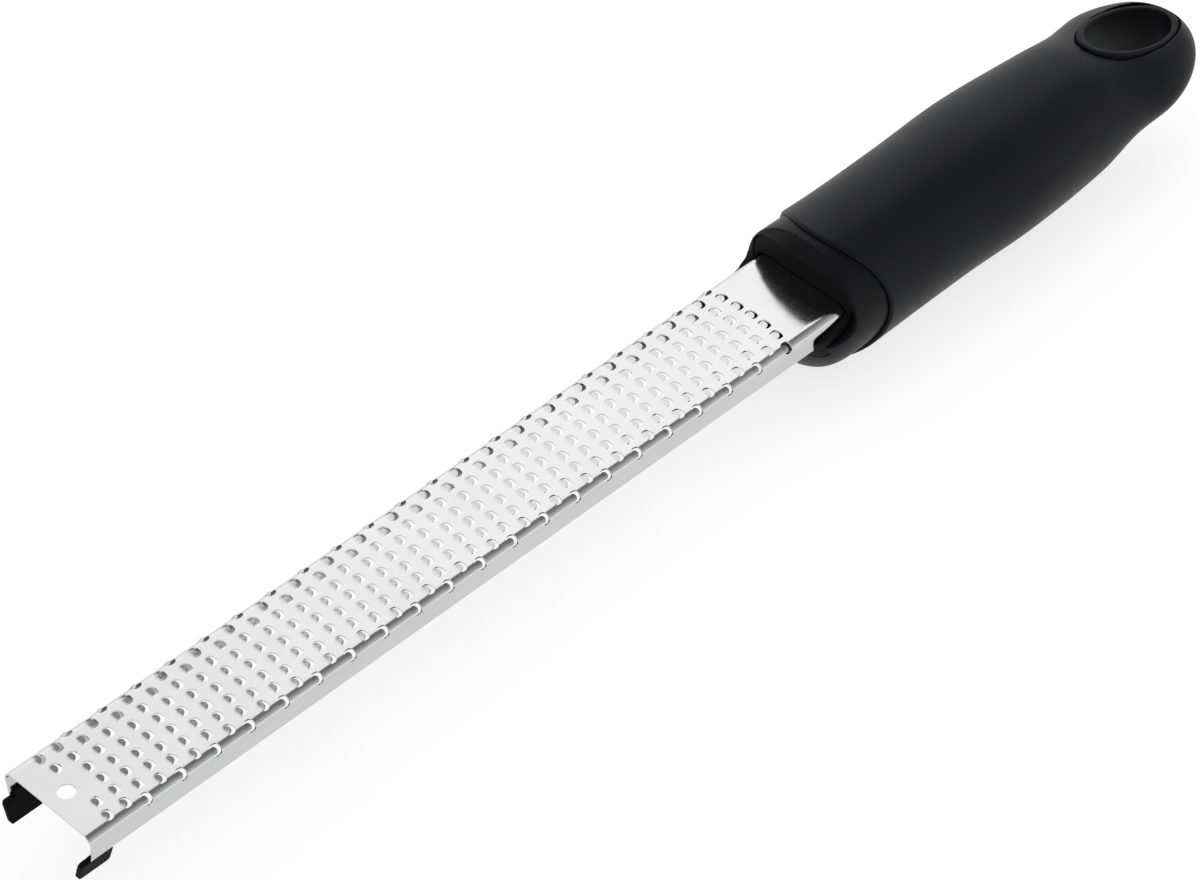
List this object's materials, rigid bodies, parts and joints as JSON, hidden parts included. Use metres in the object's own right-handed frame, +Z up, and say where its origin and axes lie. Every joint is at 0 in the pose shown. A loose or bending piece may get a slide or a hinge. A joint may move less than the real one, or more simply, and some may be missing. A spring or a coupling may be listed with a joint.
{
  "type": "rasp zester",
  "caption": "Rasp zester: a long strip of folded thin steel with rows of raised teeth, soft feet at its tip and a rounded soft handle with an oval hang eye.",
  "frame": {"origin": "centre of the tip hole, on the top face of the blade", "axes": "+X along the blade to the butt of the handle, +Y across to the far side of the picture, +Z up out of the teeth"},
  "size_m": [0.3289, 0.035, 0.0334],
  "materials": {
    "blade_steel": "bright etched stainless sheet",
    "foot_rubber": "matte black rubber",
    "plug_plastic": "fine matte black",
    "collar_plastic": "satin black",
    "core_plastic": "as moulded",
    "grip_rubber": "soft-touch matte black",
    "ring_plastic": "fine matte black"
  },
  "bodies": {
    "root": {"etched_blade": "blade_steel", "near_foot": "foot_rubber", "far_foot": "foot_rubber", "front_plug": "plug_plastic", "front_collar": "collar_plastic", "handle_core": "core_plastic", "grip_sleeve": "grip_rubber", "hang_ring": "ring_plastic"}
  },
  "joints": []
}
